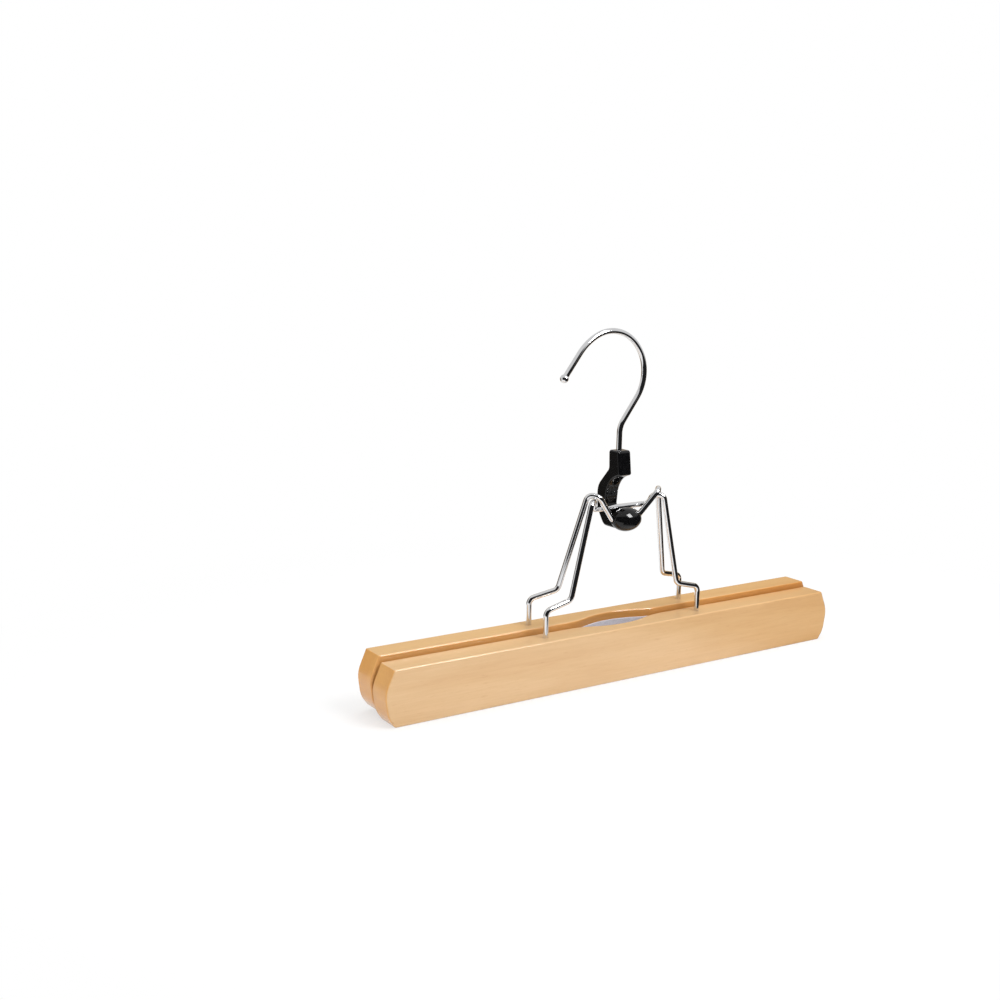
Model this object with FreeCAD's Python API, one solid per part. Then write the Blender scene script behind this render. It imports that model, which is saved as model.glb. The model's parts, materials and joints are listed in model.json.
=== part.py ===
import FreeCAD, Part
import math
import os

# Clamp hanger for skirts and trousers: two lined wooden bars on bent wire frames, closed by a cam lever.
# Millimetres. X runs along the bars, the front bar lies at negative Y, and Z is up.
# The origin is on the surface that the front bar stands on, below the middle of the hanger.

# Wooden bars
BAR_LENGTH = 280.0
BAR_HEIGHT = 27.5
BAR_THICKNESS = 13.6
BAR_GAP = 1.2
BACK_BAR_RISE = 2.7
BAR_EDGE_ROUND = 0.9
END_TOP_INSET = 4.4
END_SHOULDER_STANDOUT = 0.35
END_SHOULDER_DROP_SHARE = 0.4
END_SHOULDER_ROUND = 14.0
END_HEEL_INSET = 1.4
END_HEEL_RISE_SHARE = 0.18
END_HEEL_ROUND = 12.0
END_BOTTOM_INSET = 5.0

# Hollow in the middle of each inner face, which makes room for a thick waistband
SCOOP_WIDTH = 60.0
SCOOP_DEPTH = 5.5
SCOOP_LIP_SHARE = 0.45

# Felt strips let into the inner faces
FELT_THICKNESS = 1.2
FELT_PROUD = 0.4
FELT_TOP_MARGIN = 4.2
FELT_BOTTOM_MARGIN = 2.0
FELT_END_MARGIN = 8.0
FELT_GLUE_LINE = 0.03

# Wire frames
WIRE_DIAMETER = 2.8
LEG_SPREAD = 97.2
LEG_INSET = 6.8
LEG_DEPTH = 15.0
LEG_CLEARANCE = 0.05
POST_HEIGHT = 13.2
JOG_SPREAD = 67.6
JOG_RISE = 3.7
POST_BEND = 3.6
BACK_JOG_LEAN = 3.4

# Crossing of the two frames, where the back frame hangs over the front one
HINGE_SPREAD = 41.2
HINGE_RISE = 65.9
HINGE_FRONT = 5.6
HINGE_GAP = 0.4
FRONT_ARCH_WIDTH = 4.4
FRONT_ARCH_DEPTH = 3.6
FRONT_ARCH_BEND = 2.8
BACK_ARCH_WIDTH = 3.4
BACK_ARCH_DEPTH = 4.8
BACK_ARCH_BEND = 3.4

# Crossbar of the front frame, behind and below the crossing
CROSSBAR_SPREAD = 36.0
CROSSBAR_DROP = 6.4
CROSSBAR_BACK = 4.0
CROSSBAR_BEND = 2.4

# Pivot length of the back frame, below the crossing
PIVOT_SPREAD = 15.2
PIVOT_DROP = 12.1
PIVOT_BACK = 0.6
PIVOT_BEND = 3.0
PIVOT_BEARING = 12.0

# Travel of the back bar, and turns of the lever for each turn of the bar
JAW_TRAVEL = math.radians(11.0)
LEVER_TURNS_SHARE = 5.0
CAM_STEPS = 12

# Cam lever: block for the hook, neck bowed backwards, foot and egg-shaped pod
LEVER_WIDTH = 8.0
LEVER_EDGE_ROUND = 0.9
BLOCK_RISE = 9.9
BLOCK_HEIGHT = 12.1
BLOCK_TOP_FRONT = 4.4
BLOCK_TOP_BACK = 3.2
BLOCK_BOTTOM_FRONT = 6.0
BLOCK_BOTTOM_BACK = 2.8
BLOCK_BACK_HEIGHT = 9.6
BLOCK_ROUND = 1.4
BLOCK_LIP_ROUND = 1.0
BLOCK_NAPE_ROUND = 3.0
NECK_BACK = 13.6
NECK_RISE = 2.4
NECK_BACK_ROUND = 9.0
NECK_FRONT = 4.9
NECK_FRONT_RISE = 6.6
NECK_FRONT_ROUND = 12.0
HEEL_BACK = 13.1
HEEL_DROP = 9.4
HEEL_ROUND = 8.0
SOLE_BACK = 7.4
SOLE_DROP = 17.2
SOLE_ROUND = 4.0
FOOT_BACK = 6.5
FOOT_DROP = 6.8
FOOT_SLOPE = 2.6
FOOT_ROUND = 1.0
POD_LENGTH = 17.0
POD_RADIUS = 6.0
POD_FRONT = 1.2
PIVOT_CLEARANCE = 0.05
CAM_CLEARANCE = 0.35

# Hook
HOOK_BACK = 1.6
HOOK_STRAIGHT = 11.8
HOOK_NECK_BEND = 10.8
HOOK_SLANT = math.radians(36.0)
HOOK_RADIUS = 21.0
HOOK_CENTRE_OFFSET = 6.8
HOOK_ARC_TURN = math.radians(152.1)
HOOK_TAIL_RADIUS = 27.8
HOOK_TAIL_TURN = math.radians(27.0)
HOOK_TAIL_STRAIGHT = 14.8
HOOK_TIP_DIAMETER = 4.2
HOOK_CLEARANCE = 0.08
HEAD_DIAMETER = 4.6
HEAD_HEIGHT = 1.3
WASHER_DIAMETER = 5.2
WASHER_THICKNESS = 0.6
WASHER_PLAY = 0.05
POCKET_DEPTH = 2.4
POCKET_CLEARANCE = 0.2

# How far a cutting shape reaches past the piece that it cuts, and the turn that makes an edge sharp
OVERRUN = 2.0
SHARP_ANGLE = math.radians(10.0)

# Places worked out from the sizes above
END_SHOULDER_DROP = BAR_HEIGHT * END_SHOULDER_DROP_SHARE
END_HEEL_RISE = BAR_HEIGHT * END_HEEL_RISE_SHARE
FACE_Y = -BAR_GAP / 2
LEG_Y = FACE_Y - LEG_INSET
HINGE_Y = -HINGE_FRONT
HINGE_Z = BAR_HEIGHT + HINGE_RISE
ARCH_STEP = (WIRE_DIAMETER + HINGE_GAP) / 2
CROSSBAR_Y = HINGE_Y + CROSSBAR_BACK
CROSSBAR_Z = HINGE_Z - CROSSBAR_DROP
PIVOT_Y = HINGE_Y + PIVOT_BACK
PIVOT_Z = HINGE_Z - PIVOT_DROP
BLOCK_BOTTOM = HINGE_Z + BLOCK_RISE
BLOCK_TOP = BLOCK_BOTTOM + BLOCK_HEIGHT
POD_Y = PIVOT_Y - POD_FRONT
POCKET_TOP = BLOCK_BOTTOM + POCKET_DEPTH
X_AXIS = FreeCAD.Vector(1, 0, 0)
Y_AXIS = FreeCAD.Vector(0, 1, 0)
Z_AXIS = FreeCAD.Vector(0, 0, 1)


def vector(x, y, z):
    return FreeCAD.Vector(x, y, z)


def line(start, end):
    return Part.LineSegment(start, end).toShape()


def arc(start, middle, end):
    return Part.Arc(start, middle, end).toShape()


def prism(edges, along):
    """Solid between a closed flat outline and the same outline moved along a vector."""
    return Part.Face(Part.Wire(edges)).extrude(along)


def cylinder(radius, start, end):
    return Part.makeCylinder(radius, (end - start).Length, start, end - start)


def rounded_path(points, radii):
    """Straight runs through the points, joined at each inner point by a tangent arc of its radius."""
    edges = []
    start = points[0]
    for before, corner, after, radius in zip(points, points[1:], points[2:], radii):
        back = (before - corner).normalize()
        ahead = (after - corner).normalize()
        half_turn = (math.pi - back.getAngle(ahead)) / 2
        reach = radius * math.tan(half_turn)
        inward = (back + ahead).normalize()
        middle = corner + inward * (radius / math.cos(half_turn) - radius)
        edges.append(line(start, corner + back * reach))
        edges.append(arc(corner + back * reach, middle, corner + ahead * reach))
        start = corner + ahead * reach
    edges.append(line(start, points[-1]))
    return Part.Wire(edges)


def wire_along(path, start, direction):
    """Round wire of the common diameter carried along a path."""
    section = Part.Wire(Part.makeCircle(WIRE_DIAMETER / 2, start, direction))
    return path.makePipeShell([section], True, False)


def mirrored(points):
    """Points on the right, from the leg inwards, then their mirror images out to the left leg."""
    return points + [vector(-p.x, p.y, p.z) for p in reversed(points)]


def inner_face_line(offset, reach):
    """Inner face seen from above, moved out of the wood by offset: straight, lip, bowl, lip, straight."""
    half = SCOOP_WIDTH / 2
    both_radii = (half ** 2 + SCOOP_DEPTH ** 2) / (2 * SCOOP_DEPTH)
    turn = math.asin(half / both_radii)
    lip_radius = both_radii * SCOOP_LIP_SHARE
    lip_middle_y = FACE_Y - lip_radius
    bowl_radius = both_radii - lip_radius
    bowl_middle_y = FACE_Y - SCOOP_DEPTH + bowl_radius
    lip = lip_radius + offset
    bowl = bowl_radius - offset

    def on_lip(side, angle):
        return vector(side * (half - lip * math.sin(angle)), lip_middle_y + lip * math.cos(angle), 0)

    def on_bowl(angle):
        return vector(bowl * math.sin(angle), bowl_middle_y - bowl * math.cos(angle), 0)

    return [
        line(vector(-reach, FACE_Y + offset, 0), on_lip(-1, 0)),
        arc(on_lip(-1, 0), on_lip(-1, turn / 2), on_bowl(-turn)),
        arc(on_bowl(-turn), on_bowl(0), on_bowl(turn)),
        arc(on_bowl(turn), on_lip(1, turn / 2), on_lip(1, 0)),
        line(on_lip(1, 0), vector(reach, FACE_Y + offset, 0)),
    ]


def band(inner_offset, outer_offset, reach, bottom, top):
    """Solid between two offsets of the inner face line, over a range of heights."""
    near = inner_face_line(inner_offset, reach)
    far = inner_face_line(outer_offset, reach)
    left = line(far[0].Vertexes[0].Point, near[0].Vertexes[0].Point)
    right = line(near[-1].Vertexes[1].Point, far[-1].Vertexes[1].Point)
    solid = prism(near + [right] + far[::-1] + [left], Z_AXIS * (top - bottom))
    solid.translate(Z_AXIS * bottom)
    return solid


def bar_end(side, y):
    """End of a bar seen from the front, from top to bottom: slope, rounded shoulder and rounded heel."""
    def at(inset, z):
        return vector(side * (BAR_LENGTH / 2 - inset), y, z)

    corners = [
        at(END_TOP_INSET, BAR_HEIGHT),
        at(-END_SHOULDER_STANDOUT, BAR_HEIGHT - END_SHOULDER_DROP),
        at(END_HEEL_INSET, END_HEEL_RISE),
        at(END_BOTTOM_INSET, 0),
    ]
    return rounded_path(corners, [END_SHOULDER_ROUND, END_HEEL_ROUND]).Edges


def bar_outline(y):
    right = bar_end(1, y)
    left = bar_end(-1, y)
    top = line(left[0].Vertexes[0].Point, right[0].Vertexes[0].Point)
    bottom = line(right[-1].Vertexes[1].Point, left[-1].Vertexes[1].Point)
    return [top] + right + [bottom] + left[::-1]


def is_sharp(shape, edge):
    """True where the two faces at an edge meet at an angle, and not smoothly."""
    place = edge.valueAt((edge.FirstParameter + edge.LastParameter) / 2)
    first, second = shape.ancestorsOfType(edge, Part.Face)
    normals = [face.normalAt(*face.Surface.parameter(place)) for face in (first, second)]
    return normals[0].getAngle(normals[1]) > SHARP_ANGLE


def felt_band(inner_offset, outer_offset):
    reach = BAR_LENGTH / 2 - FELT_END_MARGIN
    return band(inner_offset, outer_offset, reach, FELT_BOTTOM_MARGIN, BAR_HEIGHT - FELT_TOP_MARGIN)


def leg_hole(side):
    bottom = vector(side * LEG_SPREAD / 2, LEG_Y, BAR_HEIGHT - LEG_DEPTH - LEG_CLEARANCE)
    top = vector(side * LEG_SPREAD / 2, LEG_Y, BAR_HEIGHT + OVERRUN)
    return cylinder(WIRE_DIAMETER / 2 + LEG_CLEARANCE, bottom, top)


def make_bar():
    """One bar in the front place: rounded ends and edges, scoop, felt rebate and two leg holes."""
    block = band(-BAR_THICKNESS - SCOOP_DEPTH, 0, BAR_LENGTH / 2, 0, BAR_HEIGHT)
    outline = prism(bar_outline(FACE_Y - BAR_THICKNESS), Y_AXIS * (BAR_THICKNESS + BAR_GAP))
    bar = block.common(outline)
    bar = bar.makeFillet(BAR_EDGE_ROUND, [edge for edge in bar.Edges if is_sharp(bar, edge)])
    rebate = felt_band(FELT_PROUD - FELT_THICKNESS - FELT_GLUE_LINE, OVERRUN)
    return bar.cut([rebate, leg_hole(-1), leg_hole(1)])


def make_felt():
    return felt_band(FELT_PROUD - FELT_THICKNESS, FELT_PROUD)


def in_back_place(shape):
    """The same piece turned end for end into the back place, and raised."""
    moved = shape.copy()
    moved.rotate(vector(0, 0, 0), Z_AXIS, math.degrees(math.pi))
    moved.translate(Z_AXIS * BACK_BAR_RISE)
    return moved


def frame_wire(points, radii):
    """One bent wire from its right leg to its left leg."""
    path = rounded_path(mirrored(points), radii + radii[::-1])
    return wire_along(path, points[0], Z_AXIS)


def make_front_frame():
    """Legs, jogs and leaning sides, arches that curl backwards, and the straight crossbar."""
    post_top = BAR_HEIGHT + POST_HEIGHT
    arch_z = HINGE_Z - ARCH_STEP
    middle_x = HINGE_SPREAD / 2
    points = [
        vector(LEG_SPREAD / 2, LEG_Y, BAR_HEIGHT - LEG_DEPTH),
        vector(LEG_SPREAD / 2, LEG_Y, post_top),
        vector(JOG_SPREAD / 2, LEG_Y, post_top + JOG_RISE),
        vector(middle_x + FRONT_ARCH_WIDTH / 2, HINGE_Y - FRONT_ARCH_DEPTH / 2, arch_z),
        vector(middle_x - FRONT_ARCH_WIDTH / 2, HINGE_Y + FRONT_ARCH_DEPTH / 2, arch_z),
        vector(CROSSBAR_SPREAD / 2, CROSSBAR_Y, CROSSBAR_Z),
    ]
    radii = [POST_BEND, POST_BEND, FRONT_ARCH_BEND, FRONT_ARCH_BEND, CROSSBAR_BEND]
    return frame_wire(points, radii)


def arm_points():
    """Right arm of the back frame: from the inner end of its arch to the end of the pivot length."""
    arch_x = HINGE_SPREAD / 2 - BACK_ARCH_WIDTH / 2
    return [
        vector(arch_x, HINGE_Y - BACK_ARCH_DEPTH / 2, HINGE_Z + ARCH_STEP),
        vector(PIVOT_SPREAD / 2, PIVOT_Y, PIVOT_Z),
    ]


def make_back_frame():
    """Legs and jogs, sides that lean forwards over the front arches, and arms to the pivot."""
    post_top = BACK_BAR_RISE + BAR_HEIGHT + POST_HEIGHT
    arch_x = HINGE_SPREAD / 2 + BACK_ARCH_WIDTH / 2
    points = [
        vector(LEG_SPREAD / 2, -LEG_Y, BACK_BAR_RISE + BAR_HEIGHT - LEG_DEPTH),
        vector(LEG_SPREAD / 2, -LEG_Y, post_top),
        vector(JOG_SPREAD / 2, -LEG_Y - BACK_JOG_LEAN, post_top + JOG_RISE),
        vector(arch_x, HINGE_Y + BACK_ARCH_DEPTH / 2, HINGE_Z + ARCH_STEP),
    ]
    radii = [POST_BEND, POST_BEND, BACK_ARCH_BEND, BACK_ARCH_BEND, PIVOT_BEND]
    return frame_wire(points + arm_points(), radii)


def turned(y, z, middle_y, middle_z, angle):
    """A point of the YZ plane turned about another, from Y towards Z."""
    dy = y - middle_y
    dz = z - middle_z
    return (
        middle_y + dy * math.cos(angle) - dz * math.sin(angle),
        middle_z + dy * math.sin(angle) + dz * math.cos(angle),
    )


def crossbar_on_lever(step):
    """Place of the crossbar as the lever sees it, at a step of the travel from closed to open."""
    jaw = JAW_TRAVEL * step / CAM_STEPS
    pivot_y, pivot_z = turned(PIVOT_Y, PIVOT_Z, HINGE_Y, HINGE_Z, jaw)
    y, z = turned(CROSSBAR_Y, CROSSBAR_Z, pivot_y, pivot_z, -jaw * LEVER_TURNS_SHARE)
    return y - pivot_y + PIVOT_Y, z - pivot_z + PIVOT_Z


def cam_slot():
    """Room for the crossbar along its path in the lever: a round at each step, and a run to the next."""
    radius = WIRE_DIAMETER / 2 + CAM_CLEARANCE
    length = LEVER_WIDTH + POD_LENGTH
    places = [vector(-length / 2, *crossbar_on_lever(step)) for step in range(CAM_STEPS + 1)]
    rooms = [cylinder(radius, place, place + X_AXIS * length) for place in places]
    for here, there in zip(places, places[1:]):
        across = (there - here).cross(X_AXIS).normalize() * radius
        ring = [here + across, there + across, there - across, here - across]
        edges = [line(start, end) for start, end in zip(ring, ring[1:] + ring[:1])]
        rooms.append(prism(edges, X_AXIS * length))
    return rooms[0].fuse(rooms[1:]).removeSplitter()


def arm_slot(side):
    """Slot in one end of the pod, in which an arm of the back frame swings: a V with a round bottom."""
    radius = WIRE_DIAMETER / 2 + CAM_CLEARANCE
    top, bottom = arm_points()
    closed = math.atan2(top.z - bottom.z, top.y - bottom.y)
    opened = closed - JAW_TRAVEL * (LEVER_TURNS_SHARE - 1)

    def beside_pivot(angle):
        place = vector(side * PIVOT_BEARING / 2, PIVOT_Y, PIVOT_Z)
        return place + vector(0, math.cos(angle), math.sin(angle)) * radius

    def outwards(angle):
        return vector(0, math.cos(angle), math.sin(angle)) * POD_LENGTH

    front = beside_pivot(closed + math.pi / 2)
    low = beside_pivot((closed + opened) / 2 + math.pi)
    back = beside_pivot(opened - math.pi / 2)
    edges = [
        line(front + outwards(closed), front),
        arc(front, low, back),
        line(back, back + outwards(opened)),
        line(back + outwards(opened), front + outwards(closed)),
    ]
    return prism(edges, X_AXIS * (side * POD_LENGTH))


def lever_outline(x):
    """Side of the lever, from under the pod: sole, heel, neck, block, inner arch, and foot."""
    def at(y, z):
        return vector(x, y, z)

    corners = [
        at(POD_Y, HINGE_Z - SOLE_DROP),
        at(SOLE_BACK, HINGE_Z - SOLE_DROP),
        at(HEEL_BACK, HINGE_Z - HEEL_DROP),
        at(NECK_BACK, HINGE_Z + NECK_RISE),
        at(HOOK_BACK + BLOCK_BOTTOM_BACK, BLOCK_TOP - BLOCK_BACK_HEIGHT),
        at(HOOK_BACK + BLOCK_TOP_BACK, BLOCK_TOP),
        at(HOOK_BACK - BLOCK_TOP_FRONT, BLOCK_TOP),
        at(HOOK_BACK - BLOCK_BOTTOM_FRONT, BLOCK_BOTTOM),
        at(NECK_FRONT, HINGE_Z + NECK_FRONT_RISE),
        at(FOOT_BACK, HINGE_Z - FOOT_DROP),
        at(POD_Y, HINGE_Z - FOOT_DROP - FOOT_SLOPE),
    ]
    radii = [
        SOLE_ROUND, HEEL_ROUND, NECK_BACK_ROUND, BLOCK_NAPE_ROUND, BLOCK_ROUND,
        BLOCK_ROUND, BLOCK_LIP_ROUND, NECK_FRONT_ROUND, FOOT_ROUND,
    ]
    return rounded_path(corners, radii).Edges + [line(corners[-1], corners[0])]


def make_pod():
    """Egg-shaped end of the lever: an ellipse turned about its long axis."""
    middle = vector(0, POD_Y, PIVOT_Z)
    right = middle + X_AXIS * (POD_LENGTH / 2)
    crown = middle + Z_AXIS * POD_RADIUS
    ellipse = Part.Ellipse(right, crown, middle)
    half = Part.Arc(ellipse, 0, math.pi).toShape()
    chord = line(half.Vertexes[1].Point, half.Vertexes[0].Point)
    return Part.Face(Part.Wire([half, chord])).revolve(middle, X_AXIS, math.degrees(2 * math.pi))


def make_lever():
    """Lever with its pod, pivot bore, slots for the arms, cam slot, and the hook's bore and pocket."""
    body = prism(lever_outline(-LEVER_WIDTH / 2), X_AXIS * LEVER_WIDTH)
    outside = [edge for edge in body.Edges if edge.CenterOfMass.y > POD_Y + LEVER_EDGE_ROUND]
    body = body.makeFillet(LEVER_EDGE_ROUND, [edge for edge in outside if is_sharp(body, edge)])
    body = body.fuse(make_pod())
    pivot = cylinder(
        WIRE_DIAMETER / 2 + PIVOT_CLEARANCE,
        vector(-POD_LENGTH, PIVOT_Y, PIVOT_Z),
        vector(POD_LENGTH, PIVOT_Y, PIVOT_Z),
    )
    hook_bore = cylinder(
        WIRE_DIAMETER / 2 + HOOK_CLEARANCE,
        vector(0, HOOK_BACK, BLOCK_BOTTOM),
        vector(0, HOOK_BACK, BLOCK_TOP + OVERRUN),
    )
    pocket = cylinder(
        WASHER_DIAMETER / 2 + POCKET_CLEARANCE,
        vector(0, HOOK_BACK, HINGE_Z),
        vector(0, HOOK_BACK, POCKET_TOP),
    )
    return body.cut([pivot, hook_bore, pocket, cam_slot(), arm_slot(-1), arm_slot(1)])


def make_washer():
    top = POCKET_TOP - WASHER_PLAY
    ring = cylinder(
        WASHER_DIAMETER / 2,
        vector(0, HOOK_BACK, top - WASHER_THICKNESS),
        vector(0, HOOK_BACK, top),
    )
    hole = cylinder(
        WIRE_DIAMETER / 2 + HOOK_CLEARANCE,
        vector(0, HOOK_BACK, top - WASHER_THICKNESS - OVERRUN),
        vector(0, HOOK_BACK, top + OVERRUN),
    )
    return ring.cut(hole)


def make_hook():
    """Upset head, shank, slant, round bow, wider tail, and straight end with a ball tip, in one plane."""
    head_top = POCKET_TOP - WASHER_PLAY - WASHER_THICKNESS - WASHER_PLAY
    bow_x = -HOOK_CENTRE_OFFSET
    slant_rise = (bow_x + HOOK_RADIUS * math.cos(HOOK_SLANT)) / math.tan(HOOK_SLANT)
    corner = vector(0, HOOK_BACK, BLOCK_TOP + HOOK_STRAIGHT)
    bow = vector(bow_x, HOOK_BACK, corner.z + slant_rise + HOOK_RADIUS * math.sin(HOOK_SLANT))
    bow_end = HOOK_ARC_TURN - HOOK_SLANT

    def outwards(angle):
        return vector(math.cos(angle), 0, math.sin(angle))

    tail = bow - outwards(bow_end) * (HOOK_TAIL_RADIUS - HOOK_RADIUS)

    def on_bow(turn):
        return bow + outwards(turn - HOOK_SLANT) * HOOK_RADIUS

    def on_tail(turn):
        return tail + outwards(bow_end + turn) * HOOK_TAIL_RADIUS

    end = on_tail(HOOK_TAIL_TURN) + outwards(bow_end + HOOK_TAIL_TURN + math.pi / 2) * HOOK_TAIL_STRAIGHT
    shank = vector(0, HOOK_BACK, head_top - HEAD_HEIGHT / 2)
    straight = rounded_path([shank, corner, on_bow(0)], [HOOK_NECK_BEND])
    bow_arc = arc(on_bow(0), on_bow(HOOK_ARC_TURN / 2), on_bow(HOOK_ARC_TURN))
    tail_arc = arc(on_tail(0), on_tail(HOOK_TAIL_TURN / 2), on_tail(HOOK_TAIL_TURN))
    path = Part.Wire(straight.Edges + [bow_arc, tail_arc, line(on_tail(HOOK_TAIL_TURN), end)])
    head = cylinder(
        HEAD_DIAMETER / 2,
        vector(0, HOOK_BACK, head_top - HEAD_HEIGHT),
        vector(0, HOOK_BACK, head_top),
    )
    tip = Part.makeSphere(HOOK_TIP_DIAMETER / 2, end)
    return wire_along(path, shank, Z_AXIS).fuse([head, tip])


def save(name, shape):
    shape.exportStep(os.path.join("parts", name + ".step"))
    print(name, len(shape.Solids), shape.isValid(), round(shape.Volume), shape.BoundBox)


os.makedirs("parts", exist_ok=True)
bar = make_bar()
felt = make_felt()
save("front_bar", bar)
save("back_bar", in_back_place(bar))
save("front_felt", felt)
save("back_felt", in_back_place(felt))
save("front_wire_frame", make_front_frame())
save("back_wire_frame", make_back_frame())
save("cam_lever", make_lever())
save("hook", make_hook())
save("hook_washer", make_washer())
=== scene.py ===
"""Looks of a clamp hanger: lacquered wooden bars, felt linings, chromed wire and a black cam lever."""

import json
import math

import bpy
import numpy as np
from mathutils import Matrix

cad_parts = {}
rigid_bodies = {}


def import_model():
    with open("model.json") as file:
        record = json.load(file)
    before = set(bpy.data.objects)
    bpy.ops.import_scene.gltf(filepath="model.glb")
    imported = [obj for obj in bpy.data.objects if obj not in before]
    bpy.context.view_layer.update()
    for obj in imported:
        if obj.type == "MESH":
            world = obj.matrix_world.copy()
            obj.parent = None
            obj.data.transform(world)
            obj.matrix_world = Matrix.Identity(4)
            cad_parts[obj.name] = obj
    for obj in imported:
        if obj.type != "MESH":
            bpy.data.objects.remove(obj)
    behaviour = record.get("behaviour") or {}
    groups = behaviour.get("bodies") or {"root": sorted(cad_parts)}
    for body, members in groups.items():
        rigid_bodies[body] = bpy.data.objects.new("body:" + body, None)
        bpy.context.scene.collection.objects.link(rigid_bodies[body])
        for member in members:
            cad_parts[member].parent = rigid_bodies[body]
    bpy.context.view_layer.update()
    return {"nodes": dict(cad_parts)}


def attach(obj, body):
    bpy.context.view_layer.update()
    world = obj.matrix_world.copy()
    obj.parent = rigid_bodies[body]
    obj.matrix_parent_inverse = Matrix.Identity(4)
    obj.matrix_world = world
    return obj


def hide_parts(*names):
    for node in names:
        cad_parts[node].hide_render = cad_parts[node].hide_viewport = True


for leftover in list(bpy.data.objects):
    bpy.data.objects.remove(leftover)
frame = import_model()
nodes = frame["nodes"]

MM = 0.001

# Felt strips in the inner faces of the bars, in millimetres, with shares, counts and seeds
STRIP_REACH = 132.0
STRIP_BOTTOM = 2.0
STRIP_TOP = 23.3
STRIP_THICKNESS = 1.2
STRIP_FACE = -0.2
STRIP_EDGE_ROUND = 0.35
STRIP_PRESS = 0.03
STRIP_FACE_SHARE = 0.98
STRIP_ROWS = 481
STRIP_FACE_ROWS = 41
STRIP_CORNER_ROWS = 5
STRIP_PRESS_CELLS = (160, 18)
STRIP_PRESS_SEEDS = {"front": 3, "back": 7}
HOLLOW_WIDTH = 60.0
HOLLOW_DEPTH = 5.5
HOLLOW_LIP_SHARE = 0.45
BAR_FACE = -0.6
BACK_RISE = 2.7

# Tints multiplied into the wood's colour, where they change, in metres, and the tone of the pores. The tints
# towards the right ends, on the back bar and on the inner faces are painted light: painted shading, a painted
# warm reflection, and painted shade with bounce light between the bars. The end grain and pores are the
# wood's own.
RIGHT_END_SHADING_TINT = (0.97, 0.88, 0.74, 1.0)
RIGHT_END_SHADING_FROM, RIGHT_END_SHADING_TO = -0.02, 0.15
BACK_BAR_REFLECTION_TINT = (1.0, 0.955, 0.85, 1.0)
BETWEEN_BARS = 0.0005
INNER_FACE_SHADE_TINT = (0.90, 0.72, 0.48, 1.0)
INNER_SHADE_FROM, INNER_SHADE_TO = 0.007, 0.009
END_GRAIN_TINT = (0.98, 0.75, 0.38, 1.0)
PORE_TONE = (0.42, 0.20, 0.07, 1.0)

# Camera: place in millimetres, angles in degrees, and focal length and sensor in millimetres
CAMERA_PLACE = (-402.4, -502.7, 215.3)
CAMERA_YAW = 33.34
CAMERA_PITCH = 11.15
CAMERA_ROLL = 1.02
CAMERA_LENS = 46.78
CAMERA_SENSOR = 36.0
CAMERA_NEAREST = 10.0

# Floor disc, in millimetres. Its share of white grows to 1 between the two distances of FLOOR_WHITE.
FLOOR_RADIUS = 900.0
FLOOR_WHITE = (120.0, 340.0)
FLOOR_NEAR_SHARE = 0.62
FLOOR_TONE = (0.86, 0.86, 0.86, 1.0)
FLOOR_RINGS = 25
FLOOR_RING_GROWTH = 1.5
FLOOR_SPOKES = 96

# Levels of the even light from all round, on surfaces and in reflections
EVEN_LIGHT = 0.32
STUDIO_LIGHT = 0.75

# Square lamps that face the middle of the hanger: place and size in millimetres, and power in watts
LIT_HEIGHT = 70.0
LAMPS = {
    "key": ((280.0, -550.0, 780.0), 500.0, 6.4),
    "top": ((20.0, 150.0, 950.0), 900.0, 5.6),
    "front": ((-300.0, -800.0, 300.0), 700.0, 0.9),
    "left": ((-850.0, -100.0, 200.0), 600.0, 2.6),
}

# Screen, mat and window that only reflections show, in millimetres, with angles in degrees from +X to +Y
SCREEN_RADIUS = 250.0
SCREEN_HEIGHT = 340.0
SCREEN_RIGHT_HEIGHT = 190.0
SCREEN_TOP_FADE = 45.0
SCREEN_START = -178.0
SCREEN_FRONT = -118.0
SCREEN_STEP = (-98.0, -66.0)
SCREEN_LEFT_RISE = 78.0
SCREEN_LOW_FADE = 14.0
SCREEN_BACK = 22.0
SCREEN_END = 155.0
SCREEN_FADE = 11.0
SCREEN_TONE = (0.015, 0.015, 0.016, 1.0)
SCREEN_BACK_TONE = (0.48, 0.35, 0.20, 1.0)
SCREEN_FAR = (92.0, 112.0)
SCREEN_FAR_TONE = (0.11, 0.10, 0.09, 1.0)
MAT_RADIUS = 70.0
MAT_FADE = 45.0
MAT_HEIGHT = 0.3
SURROUND_ROWS = 9
SURROUND_COLUMNS = 97
WINDOW_PLACE = (291.0, -625.0, 658.0)
WINDOW_WIDTH = 320.0
WINDOW_HEIGHT = 480.0
WINDOW_LEVEL = 24.0


def surface(name, points, close_around=False):
    """Mesh object from a grid of points, rows by columns, with a quad between each four neighbours."""
    rows, columns = points.shape[:2]
    index = np.arange(rows * columns).reshape(rows, columns)
    if close_around:
        index = np.concatenate([index, index[:, :1]], axis=1)
    quads = np.stack([index[:-1, :-1], index[:-1, 1:], index[1:, 1:], index[1:, :-1]], axis=-1).reshape(-1, 4)
    mesh = bpy.data.meshes.new(name)
    mesh.from_pydata(points.reshape(-1, 3) * MM, [], quads)
    mesh.polygons.foreach_set("use_smooth", np.ones(len(quads), bool))
    mesh.update()
    piece = bpy.data.objects.new(name, mesh)
    bpy.context.scene.collection.objects.link(piece)
    return piece


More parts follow.
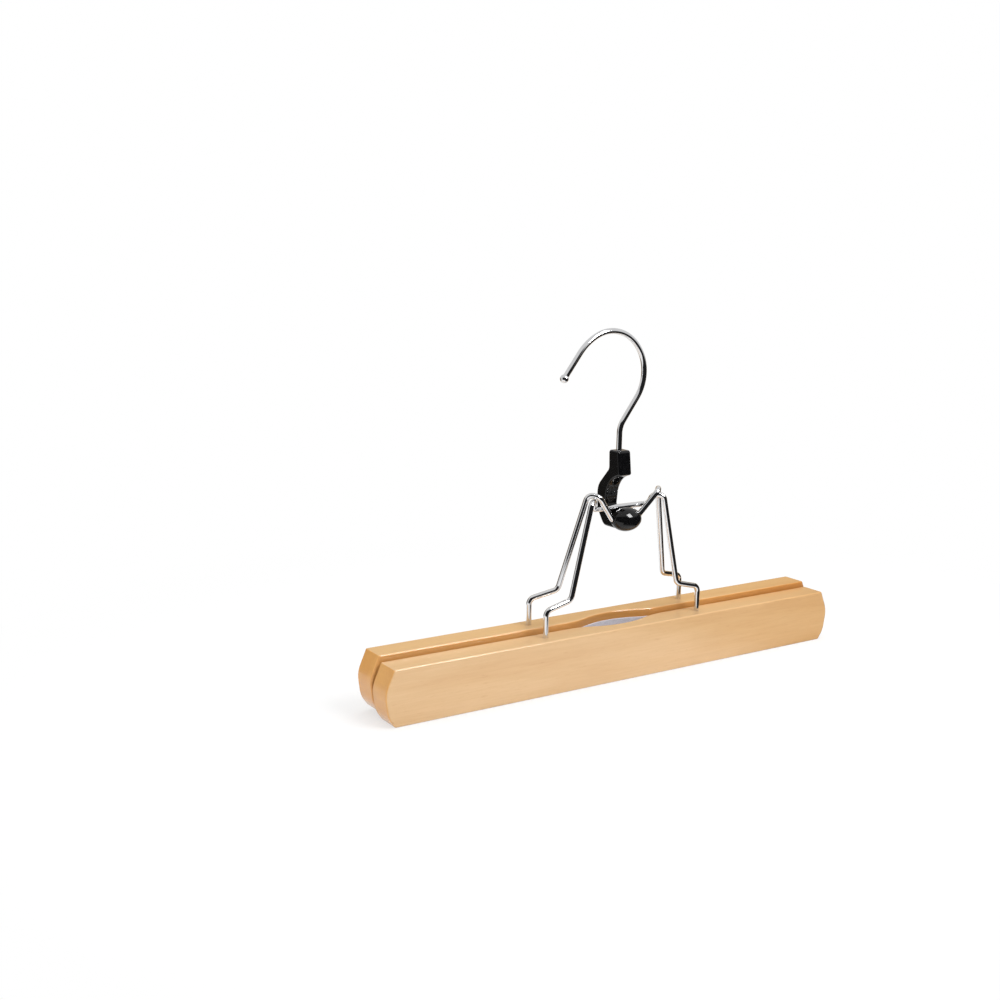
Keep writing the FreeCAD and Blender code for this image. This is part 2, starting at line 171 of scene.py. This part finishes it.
def hollow_line(count, offset):
    """Plan of a bar's inner face as (x, y): flat, then a lip arc, a bowl arc, a lip arc, and flat again.

    The two arcs meet smoothly where the lip's radius and the bowl's add up to
    (half width squared + depth squared) / (2 * depth). The line is moved out of the wood by offset.
    """
    half = HOLLOW_WIDTH / 2
    both = (half ** 2 + HOLLOW_DEPTH ** 2) / (2 * HOLLOW_DEPTH)
    lip = both * HOLLOW_LIP_SHARE
    bowl = both - lip
    join = half * bowl / both
    x = np.linspace(-STRIP_REACH, STRIP_REACH, count)
    away = np.abs(x)
    on_bowl = -HOLLOW_DEPTH + bowl - np.sqrt(np.maximum(bowl ** 2 - away ** 2, 0))
    on_lip = -lip + np.sqrt(np.maximum(lip ** 2 - (half - away) ** 2, 0))
    y = BAR_FACE + np.where(away < join, on_bowl, np.where(away < half, on_lip, 0))
    slope = np.gradient(y, x)
    length = np.hypot(1, slope)
    return x - offset * slope / length, y + offset / length


def smooth_noise(shape, cells, seed):
    """Uneven field in -1..1: random values on a coarse grid, blended between cells by a cosine."""
    random = np.random.default_rng(seed).uniform(-1, 1, (cells[0] + 1, cells[1] + 1))

    def weights(count, cells_across):
        at = np.linspace(0, cells_across, count, endpoint=False)
        low = at.astype(int)
        return low, (1 - np.cos(math.pi * (at - low))) / 2

    i, u = weights(shape[0], cells[0])
    j, v = weights(shape[1], cells[1])
    u, v = u[:, None], v[None, :]
    near = random[i][:, j] * (1 - u) + random[i + 1][:, j] * u
    far = random[i][:, j + 1] * (1 - u) + random[i + 1][:, j + 1] * u
    return near * (1 - v) + far * v


def felt_strip(side):
    """Felt strip as a rounded flat section carried along the bar's inner face line.

    The section is a rectangle, height by thickness, with quarter-circle corners. Its face is
    pressed in unevenly, by up to twice STRIP_PRESS. At each end the section is drawn in to its middle,
    which closes the end. The back strip is the front one turned half round about Z, and raised.
    """
    count = STRIP_ROWS
    turn = np.linspace(0, math.pi / 2, STRIP_CORNER_ROWS)
    depth = STRIP_THICKNESS
    r = STRIP_EDGE_ROUND
    low, high = STRIP_BOTTOM + r, STRIP_TOP - r
    face = np.linspace(low, high, STRIP_FACE_ROWS)[1:-1]
    height = np.concatenate([
        high + r * np.sin(turn), high + r * np.cos(turn), face[::-1],
        low - r * np.sin(turn), low - r * np.cos(turn), face,
    ])
    out = np.concatenate([
        depth - r + r * np.cos(turn), r - r * np.sin(turn), np.zeros(len(face)),
        r - r * np.cos(turn), depth - r + r * np.sin(turn), np.full(len(face), depth),
    ])
    order = np.argsort(-np.arctan2(out - depth / 2, height - (low + high) / 2), kind="stable")
    height, out = height[order], out[order]
    on_face = (out > depth * STRIP_FACE_SHARE)[None, :]
    press = STRIP_PRESS * smooth_noise((count, len(out)), STRIP_PRESS_CELLS, STRIP_PRESS_SEEDS[side])
    x, y = hollow_line(count, STRIP_FACE - BAR_FACE - depth)
    nx, ny = np.gradient(x), np.gradient(y)
    nx, ny = -ny / np.hypot(nx, ny), nx / np.hypot(nx, ny)
    reach = out[None, :] + np.where(on_face, press - STRIP_PRESS, 0)
    middle = np.full((1, len(out)), depth / 2)
    reach = np.concatenate([middle, reach, middle])
    row = np.clip(np.arange(-1, count + 1), 0, count - 1)
    points = np.stack([
        x[row, None] + nx[row, None] * reach,
        y[row, None] + ny[row, None] * reach,
        np.broadcast_to(height, reach.shape),
    ], axis=-1)
    if side == "back":
        points = points * np.array([-1, -1, 1]) + np.array([0, 0, BACK_RISE])
    return surface(side + "_felt_strip", points, close_around=True)


def add_node(tree, kind, inputs=None, **settings):
    """New shader node. Inputs are values, or sockets of other nodes to link from."""
    made = tree.nodes.new(kind)
    for key, value in settings.items():
        setattr(made, key, value)
    for key, value in (inputs or {}).items():
        if isinstance(value, bpy.types.NodeSocket):
            tree.links.new(value, made.inputs[key])
        else:
            made.inputs[key].default_value = value
    return made


def new_material(name):
    """Material with an empty tree, and its output node."""
    material = bpy.data.materials.new(name)
    material.use_nodes = True
    tree = material.node_tree
    tree.nodes.clear()
    return material, tree, add_node(tree, "ShaderNodeOutputMaterial")


def stretched(tree, scale):
    """Object coordinates, in metres, multiplied along each axis."""
    coordinates = add_node(tree, "ShaderNodeTexCoord").outputs["Object"]
    return add_node(tree, "ShaderNodeMapping", {"Vector": coordinates, "Scale": scale}).outputs["Vector"]


def noise(tree, scale, **inputs):
    """Noise whose grain is 1 / scale metres long on each axis."""
    values = {"Vector": stretched(tree, scale), "Scale": 1.0}
    values.update({key.replace("_", " ").title(): value for key, value in inputs.items()})
    return add_node(tree, "ShaderNodeTexNoise", values).outputs["Fac"]


def ramp(tree, factor, stops):
    """Colour ramp with its stops given as (place, colour)."""
    made = add_node(tree, "ShaderNodeValToRGB", {"Fac": factor})
    elements = made.color_ramp.elements
    while len(elements) < len(stops):
        elements.new(0.5)
    for element, (place, colour) in zip(elements, stops):
        element.position = place
        element.color = (*colour, 1.0)
    return made.outputs["Color"]


def mixed(tree, factor, first, second, blend="MIX"):
    """Colour mix of two colours by a factor."""
    made = add_node(tree, "ShaderNodeMix", data_type="RGBA", blend_type=blend)
    for socket, value in ((made.inputs[0], factor), (made.inputs[6], first), (made.inputs[7], second)):
        if isinstance(value, bpy.types.NodeSocket):
            tree.links.new(value, socket)
        else:
            socket.default_value = value
    return made.outputs[2]


def bump(tree, height, strength, distance):
    """Normal that a height pattern tilts."""
    return add_node(
        tree, "ShaderNodeBump", {"Height": height, "Strength": strength, "Distance": distance}
    ).outputs["Normal"]


def remap(tree, value, low, high, to_low, to_high):
    """Value moved from one range to another, and held within it."""
    return add_node(tree, "ShaderNodeMapRange", {
        "Value": value, "From Min": low, "From Max": high, "To Min": to_low, "To Max": to_high,
    }).outputs["Result"]


def reckon(tree, operation, *values):
    """Result of a math node with the given values."""
    return add_node(tree, "ShaderNodeMath", dict(enumerate(values)), operation=operation).outputs[0]


def product(tree, *values):
    """Values multiplied together."""
    total = values[0]
    for value in values[1:]:
        total = reckon(tree, "MULTIPLY", total, value)
    return total


def parts_of(tree, vector):
    """The X, Y and Z parts of a vector."""
    return add_node(tree, "ShaderNodeSeparateXYZ", {0: vector}).outputs


def tinted(tree, factor, colour, tint):
    """Colour multiplied by a tint, as far as the factor says."""
    return mixed(tree, factor, colour, mixed(tree, 1.0, colour, tint, "MULTIPLY"))


def principled(tree, output, inputs):
    """Principled shader with the given inputs, linked to the material's output."""
    shader = add_node(tree, "ShaderNodeBsdfPrincipled", inputs)
    tree.links.new(shader.outputs["BSDF"], output.inputs["Surface"])


def lacquered_wood():
    """Pale close-grained wood: broad tone, fine fibres and short dark flecks along X, under clear lacquer.

    The ends, where the fibres are cut across, are warmer. Painted light is mixed into the colour as well:
    painted shading makes the bars warmer towards their right ends, a painted warm reflection warms the back
    bar, and painted shade and bounce light make the inner faces between the bars darker and warmer.
    """
    material, tree, output = new_material("lacquered_wood")
    tone = noise(tree, (7, 60, 60), detail=4.0, roughness=0.5, distortion=0.4)
    fibre = noise(tree, (55, 1300, 1300), detail=5.0, roughness=0.6)
    fleck = noise(tree, (210, 2300, 2300), detail=2.0, roughness=0.5)
    colour = ramp(tree, tone, [
        (0.30, (0.615, 0.385, 0.190)), (0.50, (0.655, 0.430, 0.225)), (0.70, (0.690, 0.470, 0.262)),
    ])
    streak = ramp(tree, fibre, [(0.30, (0.90, 0.86, 0.80)), (0.62, (1.0, 1.0, 1.0))])
    colour = mixed(tree, 0.5, colour, streak, "MULTIPLY")
    x, y, _ = parts_of(tree, stretched(tree, (1, 1, 1)))
    # Painted shading: the bars grow warmer towards their right ends, where they reflect less white.
    colour = tinted(tree, remap(tree, x, RIGHT_END_SHADING_FROM, RIGHT_END_SHADING_TO, 0.0, 1.0), colour, RIGHT_END_SHADING_TINT)
    # Painted warm reflection: the whole back bar is tinted warmer, for the warm tone its glossy top reflects.
    colour = tinted(tree, remap(tree, y, -BETWEEN_BARS, BETWEEN_BARS, 0.0, 1.0), colour, BACK_BAR_REFLECTION_TINT)
    colour = mixed(tree, remap(tree, fleck, 0.64, 0.74, 0.0, 0.20), colour, PORE_TONE)
    normal = add_node(tree, "ShaderNodeNewGeometry").outputs["True Normal"]
    along_x, along_y = (reckon(tree, "ABSOLUTE", part) for part in parts_of(tree, normal)[:2])
    # Painted shade and bounce light: upright faces close to the slot between the bars are darker and warmer.
    upright = remap(tree, along_y, 0.5, 0.8, 0.0, 1.0)
    inner = remap(tree, reckon(tree, "ABSOLUTE", y), INNER_SHADE_FROM, INNER_SHADE_TO, 1.0, 0.0)
    colour = tinted(tree, product(tree, upright, inner), colour, INNER_FACE_SHADE_TINT)
    colour = tinted(tree, remap(tree, along_x, 0.45, 0.85, 0.0, 1.0), colour, END_GRAIN_TINT)
    principled(tree, output, {
        "Base Color": colour,
        "Roughness": remap(tree, fibre, 0.3, 0.7, 0.42, 0.52),
        "Specular IOR Level": 0.1,
        "Coat Weight": 1.0,
        "Coat Roughness": 0.14,
        "Coat IOR": 1.5,
        "Normal": bump(tree, fibre, 0.05, 0.0002),
    })
    return material


def chromed_wire():
    """Bright chrome plate: mirror-like, with faint clouding and a fine ripple from the drawn wire below."""
    material, tree, output = new_material("chromed_wire")
    cloud = noise(tree, (240, 240, 240), detail=4.0, roughness=0.6)
    ripple = noise(tree, (400, 400, 400), detail=0.0)
    principled(tree, output, {
        "Base Color": ramp(tree, cloud, [(0.3, (0.74, 0.74, 0.75)), (0.7, (0.82, 0.82, 0.83))]),
        "Metallic": 1.0,
        "Roughness": remap(tree, cloud, 0.3, 0.75, 0.04, 0.10),
        "Normal": bump(tree, ripple, 0.01, 0.0001),
    })
    return material


def black_plastic():
    """Glossy black moulding with slight unevenness and faint handling marks."""
    material, tree, output = new_material("black_plastic")
    skin = noise(tree, (160, 160, 160), detail=0.0)
    marks = noise(tree, (500, 200, 500), detail=1.0, roughness=0.5)
    principled(tree, output, {
        "Base Color": ramp(tree, marks, [(0.4, (0.0030, 0.0030, 0.0033)), (0.8, (0.0048, 0.0048, 0.0052))]),
        "Roughness": remap(tree, marks, 0.35, 0.75, 0.07, 0.12),
        "IOR": 1.40,
        "Normal": bump(tree, skin, 0.02, 0.0003),
    })
    return material


def pressed_felt():
    """Light grey felt: matted fibres in several greys, with a soft sheen."""
    material, tree, output = new_material("pressed_felt")
    mat = noise(tree, (650, 650, 650), detail=8.0, roughness=0.72, distortion=2.5)
    hair = noise(tree, (2600, 900, 2600), detail=4.0, roughness=0.7, distortion=1.5)
    colour = ramp(tree, mat, [
        (0.30, (0.50, 0.49, 0.55)), (0.50, (0.63, 0.62, 0.68)), (0.72, (0.76, 0.75, 0.80)),
    ])
    colour = mixed(tree, remap(tree, hair, 0.55, 0.8, 0.0, 0.5), colour, (0.83, 0.82, 0.87, 1.0))
    principled(tree, output, {
        "Base Color": colour,
        "Roughness": 1.0,
        "Specular IOR Level": 0.1,
        "Sheen Weight": 0.4,
        "Sheen Roughness": 0.5,
        "Normal": bump(tree, mat, 0.7, 0.0004),
    })
    return material


def washer_steel():
    """Plain steel with dull patches."""
    material, tree, output = new_material("washer_steel")
    patch = noise(tree, (700, 700, 700), detail=5.0)
    principled(tree, output, {
        "Base Color": ramp(tree, patch, [(0.3, (0.48, 0.48, 0.49)), (0.7, (0.60, 0.60, 0.61))]),
        "Metallic": 1.0,
        "Roughness": remap(tree, patch, 0.3, 0.7, 0.28, 0.42),
        "Normal": bump(tree, patch, 0.1, 0.0001),
    })
    return material


def dress(piece, material):
    """Give a piece one material."""
    piece.data.materials.clear()
    piece.data.materials.append(material)


def seen_directly(tree):
    """1 for rays from the camera and in reflections and glass, 0 for rays that light the object."""
    path = add_node(tree, "ShaderNodeLightPath").outputs
    either = reckon(tree, "MAXIMUM", path["Is Camera Ray"], path["Is Glossy Ray"])
    return reckon(tree, "MAXIMUM", either, path["Is Transmission Ray"])


def build_floor():
    """Pale floor disc that shows white and keeps a soft shadow, which fades out away from the hanger."""
    ring = np.linspace(0, 1, FLOOR_RINGS)[:, None] ** FLOOR_RING_GROWTH * FLOOR_RADIUS
    angle = np.linspace(0, 2 * math.pi, FLOOR_SPOKES, endpoint=False)
    height = np.zeros((FLOOR_RINGS, FLOOR_SPOKES))
    points = np.stack([ring * np.cos(angle), ring * np.sin(angle), height], axis=-1)
    floor = surface("floor", points, close_around=True)
    floor.data.flip_normals()
    material, tree, output = new_material("pale_floor")
    place = add_node(tree, "ShaderNodeTexCoord").outputs["Object"]
    away = add_node(tree, "ShaderNodeVectorMath", {0: place}, operation="LENGTH").outputs["Value"]
    matte = add_node(tree, "ShaderNodeBsdfDiffuse", {"Color": FLOOR_TONE}).outputs[0]
    glow = add_node(tree, "ShaderNodeEmission", {"Color": (1, 1, 1, 1), "Strength": 1.0}).outputs[0]
    near, far = FLOOR_WHITE
    white = remap(tree, away, near * MM, far * MM, FLOOR_NEAR_SHARE, 1.0)
    share = product(tree, white, seen_directly(tree))
    both = add_node(tree, "ShaderNodeMixShader", {0: share, 1: matte, 2: glow}).outputs[0]
    tree.links.new(both, output.inputs["Surface"])
    dress(floor, material)


def build_world():
    """White surroundings for the camera, and lower even light in reflections and on surfaces."""
    world = bpy.data.worlds.new("studio")
    bpy.context.scene.world = world
    world.use_nodes = True
    tree = world.node_tree
    tree.nodes.clear()
    path = add_node(tree, "ShaderNodeLightPath").outputs
    levels = {0: path["Is Glossy Ray"], 2: EVEN_LIGHT, 3: STUDIO_LIGHT}
    level = add_node(tree, "ShaderNodeMix", levels).outputs[0]
    even = add_node(tree, "ShaderNodeBackground", {"Color": (1, 1, 1, 1), "Strength": level}).outputs[0]
    white = add_node(tree, "ShaderNodeBackground", {"Color": (1, 1, 1, 1), "Strength": 1.0}).outputs[0]
    through = reckon(tree, "MAXIMUM", path["Is Camera Ray"], path["Is Transmission Ray"])
    shown = add_node(tree, "ShaderNodeMixShader", {0: through, 1: even, 2: white}).outputs[0]
    output = add_node(tree, "ShaderNodeOutputWorld")
    tree.links.new(shown, output.inputs["Surface"])


def reflected_only(name, points, share, tone):
    """Stage piece that only reflections show: a plain tone, see-through where its share is low.

    The share and the tone are functions that take the tree, the height, the turn about Z in degrees from +X
    towards +Y, and the distance from Z, and return a socket or a value.
    """
    piece = surface(name, points)
    material, tree, output = new_material(name)
    place = add_node(tree, "ShaderNodeTexCoord").outputs["Object"]
    x, y, z = parts_of(tree, place)
    degrees = reckon(tree, "DEGREES", reckon(tree, "ARCTAN2", y, x))
    flat = add_node(tree, "ShaderNodeCombineXYZ", {0: x, 1: y}).outputs[0]
    away = add_node(tree, "ShaderNodeVectorMath", {0: flat}, operation="LENGTH").outputs["Value"]
    colour = tone(tree, z, degrees, away)
    shown = add_node(tree, "ShaderNodeEmission", {"Color": colour, "Strength": 1.0}).outputs[0]
    clear = add_node(tree, "ShaderNodeBsdfTransparent").outputs[0]
    amount = share(tree, z, degrees, away)
    both = add_node(tree, "ShaderNodeMixShader", {0: amount, 1: clear, 2: shown}).outputs[0]
    tree.links.new(both, output.inputs["Surface"])
    dress(piece, material)
    piece.visible_camera = False
    piece.visible_diffuse = False
    piece.visible_shadow = False
    piece.visible_transmission = False


def build_surround():
    """Low screen round the hanger, open on the left, and a dark mat before it on the floor.

    The screen is part of a cylinder about Z, dark from the front to the right and brown at the back. Its
    lower edge rises from the front to the left, and its upper edge steps down at the front. The mat is part
    of a flat ring from the screen inwards. All the edges fade out.
    """
    rows, columns = SURROUND_ROWS, SURROUND_COLUMNS
    angle = np.radians(np.linspace(SCREEN_START, SCREEN_END, columns))
    height = np.broadcast_to(np.linspace(0, SCREEN_HEIGHT, rows)[:, None], (rows, columns))
    reach = np.full((rows, 1), SCREEN_RADIUS)
    wall = np.stack([reach * np.cos(angle), reach * np.sin(angle), height], axis=-1)
    angle = np.radians(np.linspace(SCREEN_FRONT, SCREEN_BACK, columns))
    reach = np.linspace(MAT_RADIUS, SCREEN_RADIUS, rows)[:, None]
    height = np.full((rows, columns), MAT_HEIGHT)
    mat = np.stack([reach * np.cos(angle), reach * np.sin(angle), height], axis=-1)

    def wall_share(tree, z, degrees, away):
        rise = remap(tree, degrees, SCREEN_START, SCREEN_FRONT, SCREEN_LEFT_RISE * MM, 0.0)
        low = remap(tree, reckon(tree, "SUBTRACT", z, rise), -SCREEN_LOW_FADE * MM, 0.0, 0.0, 1.0)
        edge = remap(tree, degrees, *SCREEN_STEP, SCREEN_HEIGHT * MM, SCREEN_RIGHT_HEIGHT * MM)
        top = remap(tree, reckon(tree, "SUBTRACT", edge, z), 0.0, SCREEN_TOP_FADE * MM, 0.0, 1.0)
        end = remap(tree, degrees, SCREEN_END - SCREEN_FADE, SCREEN_END, 1.0, 0.0)
        return product(tree, low, top, end)

    def wall_tone(tree, z, degrees, away):
        at_back = remap(tree, degrees, SCREEN_BACK - SCREEN_FADE, SCREEN_BACK, 0.0, 1.0)
        far = mixed(tree, remap(tree, degrees, *SCREEN_FAR, 0.0, 1.0), SCREEN_BACK_TONE, SCREEN_FAR_TONE)
        return mixed(tree, at_back, SCREEN_TONE, far)

    def mat_share(tree, z, degrees, away):
        start = remap(tree, degrees, SCREEN_FRONT, SCREEN_FRONT + SCREEN_FADE, 0.0, 1.0)
        end = remap(tree, degrees, SCREEN_BACK - SCREEN_FADE, SCREEN_BACK, 1.0, 0.0)
        inside = remap(tree, away, MAT_RADIUS * MM, (MAT_RADIUS + MAT_FADE) * MM, 0.0, 1.0)
        return product(tree, start, end, inside)

    def mat_tone(tree, z, degrees, away):
        return SCREEN_TONE

    reflected_only("screen", wall, wall_share, wall_tone)
    reflected_only("mat", mat, mat_share, mat_tone)


def facing_hanger(place):
    """Right, up and back directions of something at a place that faces the middle of the hanger."""
    back = np.array(place) - np.array([0, 0, LIT_HEIGHT])
    back = back / np.linalg.norm(back)
    right = np.cross([0, 0, 1.0], back)
    right = right / np.linalg.norm(right)
    return right, np.cross(back, right), back


def build_window():
    """Bright upright panel, high at the front right, that only reflections show."""
    place = np.array(WINDOW_PLACE)
    right, up, _ = facing_hanger(place)
    sides = np.array([-0.5, 0.5])
    upwards = sides[:, None, None] * WINDOW_HEIGHT * up
    points = place + upwards + sides[None, :, None] * WINDOW_WIDTH * right

    def share(tree, z, degrees, away):
        return 1.0

    def tone(tree, z, degrees, away):
        return WINDOW_LEVEL, WINDOW_LEVEL, WINDOW_LEVEL, 1.0

    reflected_only("window", points, share, tone)


def softbox(name, place, size, power):
    """Square lamp that faces the middle of the hanger, and is left out of reflections."""
    data = bpy.data.lights.new(name, "AREA")
    data.size = size * MM
    data.energy = power
    lamp = bpy.data.objects.new(name, data)
    lamp.visible_glossy = False
    bpy.context.scene.collection.objects.link(lamp)
    turn = np.eye(4)
    turn[:3, 0], turn[:3, 1], turn[:3, 2] = facing_hanger(place)
    turn[:3, 3] = np.array(place) * MM
    lamp.matrix_world = Matrix(turn.tolist())


def build_camera():
    """Camera from yaw, pitch and roll: along +Y, turned towards +X, then down, then about its own axis."""
    yaw, pitch, roll = (math.radians(a) for a in (CAMERA_YAW, CAMERA_PITCH, CAMERA_ROLL))
    ahead = np.array([math.sin(yaw) * math.cos(pitch), math.cos(yaw) * math.cos(pitch), -math.sin(pitch)])
    level = np.array([math.cos(yaw), -math.sin(yaw), 0])
    above = np.cross(level, ahead)
    turn = np.eye(4)
    turn[:3, 0] = level * math.cos(roll) + above * math.sin(roll)
    turn[:3, 1] = above * math.cos(roll) - level * math.sin(roll)
    turn[:3, 2] = -ahead
    turn[:3, 3] = np.array(CAMERA_PLACE) * MM
    data = bpy.data.cameras.new("camera")
    data.sensor_width = CAMERA_SENSOR
    data.lens = CAMERA_LENS
    data.clip_start = CAMERA_NEAREST * MM
    camera = bpy.data.objects.new("camera", data)
    bpy.context.scene.collection.objects.link(camera)
    camera.matrix_world = Matrix(turn.tolist())
    bpy.context.scene.camera = camera


wood = lacquered_wood()
chrome = chromed_wire()
for name, material in (
    ("front_bar", wood), ("back_bar", wood), ("front_wire_frame", chrome), ("back_wire_frame", chrome),
    ("hook", chrome), ("cam_lever", black_plastic()), ("hook_washer", washer_steel()),
):
    dress(nodes[name], material)

felt = pressed_felt()
for side in ("front", "back"):
    strip = felt_strip(side)
    dress(strip, felt)
    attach(strip, side + "_jaw")
    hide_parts(side + "_felt")

build_floor()
build_world()
build_surround()
build_window()
for name, lamp in LAMPS.items():
    softbox(name, *lamp)
build_camera()
bpy.context.scene.view_settings.view_transform = "Standard"
